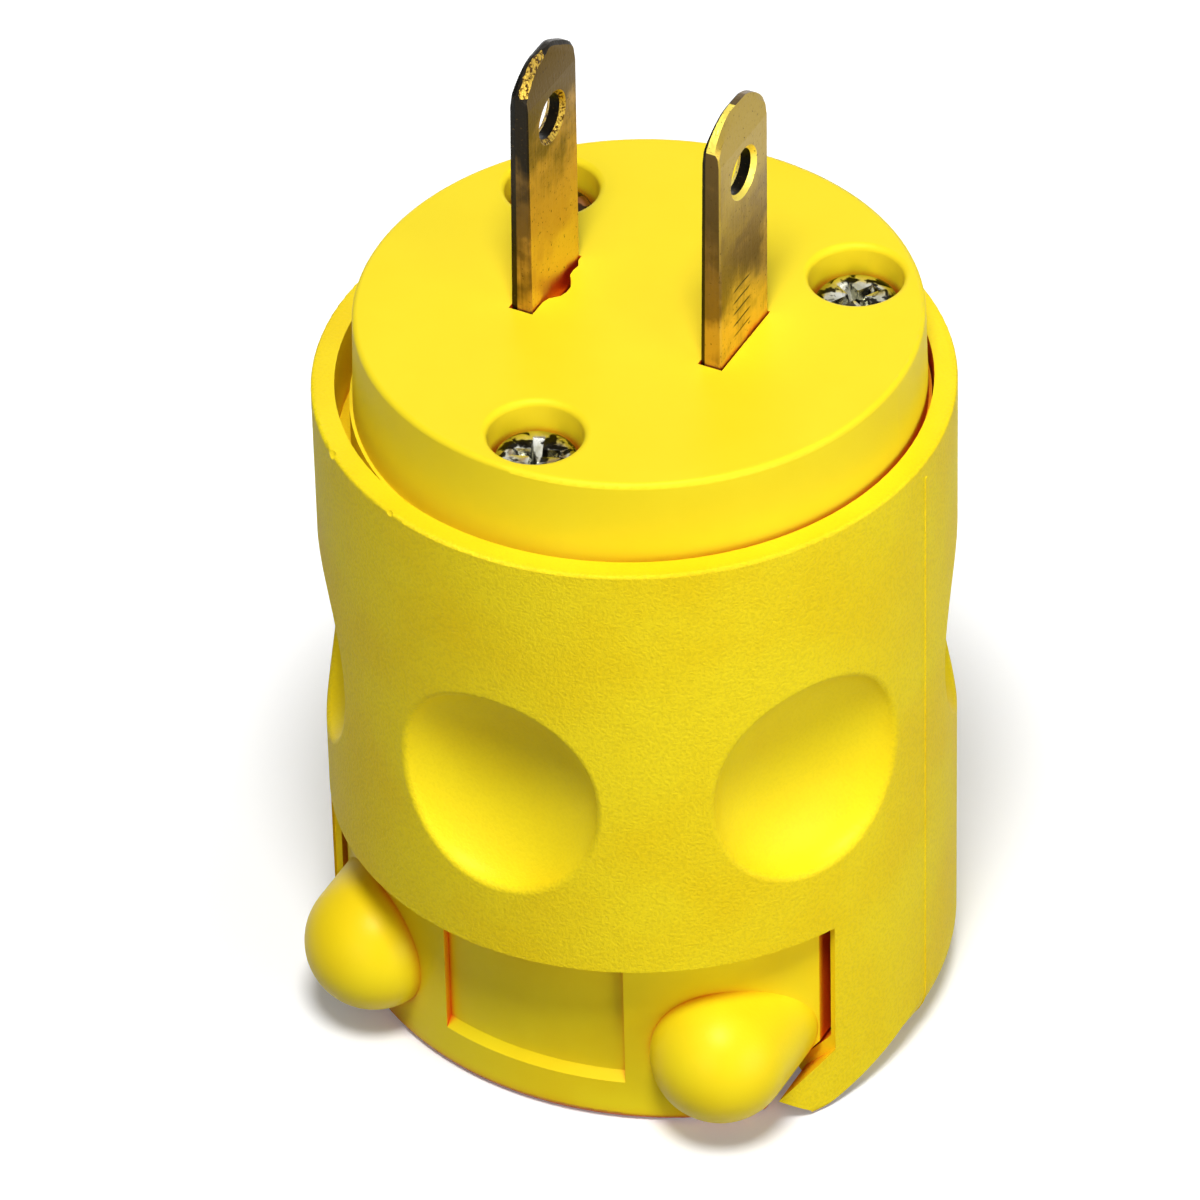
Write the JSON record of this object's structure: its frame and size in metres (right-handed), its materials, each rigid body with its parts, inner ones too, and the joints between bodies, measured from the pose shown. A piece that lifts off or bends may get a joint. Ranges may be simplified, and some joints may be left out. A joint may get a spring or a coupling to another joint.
{
  "type": "straight blade plug",
  "caption": "Round straight blade plug with flat blades, a raised screwed cover, finger dimples around its moulded body and a domed cord clamp at the rear.",
  "frame": {"origin": "on the body's axis, in the plane of the rear end where the cord comes in", "axes": "+Z along the body toward the blades, +X along the blade spacing, -Y toward the cord clamp"},
  "size_m": [0.0392, 0.039, 0.0678],
  "materials": {
    "body": "moulded yellow vinyl with a fine spark-eroded grain",
    "cover": "smooth semi-gloss moulded yellow",
    "clamp": "smooth semi-gloss moulded yellow",
    "carrier": "plain black moulded",
    "blade": "aged, scratched brass with dark sheared edges",
    "face_screw": "bright nickel plating",
    "insert": "plain turned",
    "terminal_screw_plated": "nickel plated",
    "terminal_screw_brass": "plain turned",
    "pressure_plate": "stamped",
    "clamp_screw": "zinc plated",
    "clamp_nut": "zinc plated"
  },
  "bodies": {
    "root": {"body_shell": "body", "face_cover": "cover", "cord_clamp": "clamp", "terminal_carrier": "carrier", "blade_left": "blade", "blade_right": "blade", "face_screw_front": "face_screw", "face_screw_right": "face_screw", "face_screw_left": "face_screw", "insert_front": "insert", "insert_right": "insert", "insert_left": "insert", "terminal_screw_left": "terminal_screw_plated", "terminal_screw_right": "terminal_screw_brass", "pressure_plate_left": "pressure_plate", "pressure_plate_right": "pressure_plate", "clamp_screw_left": "clamp_screw", "clamp_screw_right": "clamp_screw", "clamp_nut_left": "clamp_nut", "clamp_nut_right": "clamp_nut"}
  },
  "joints": []
}
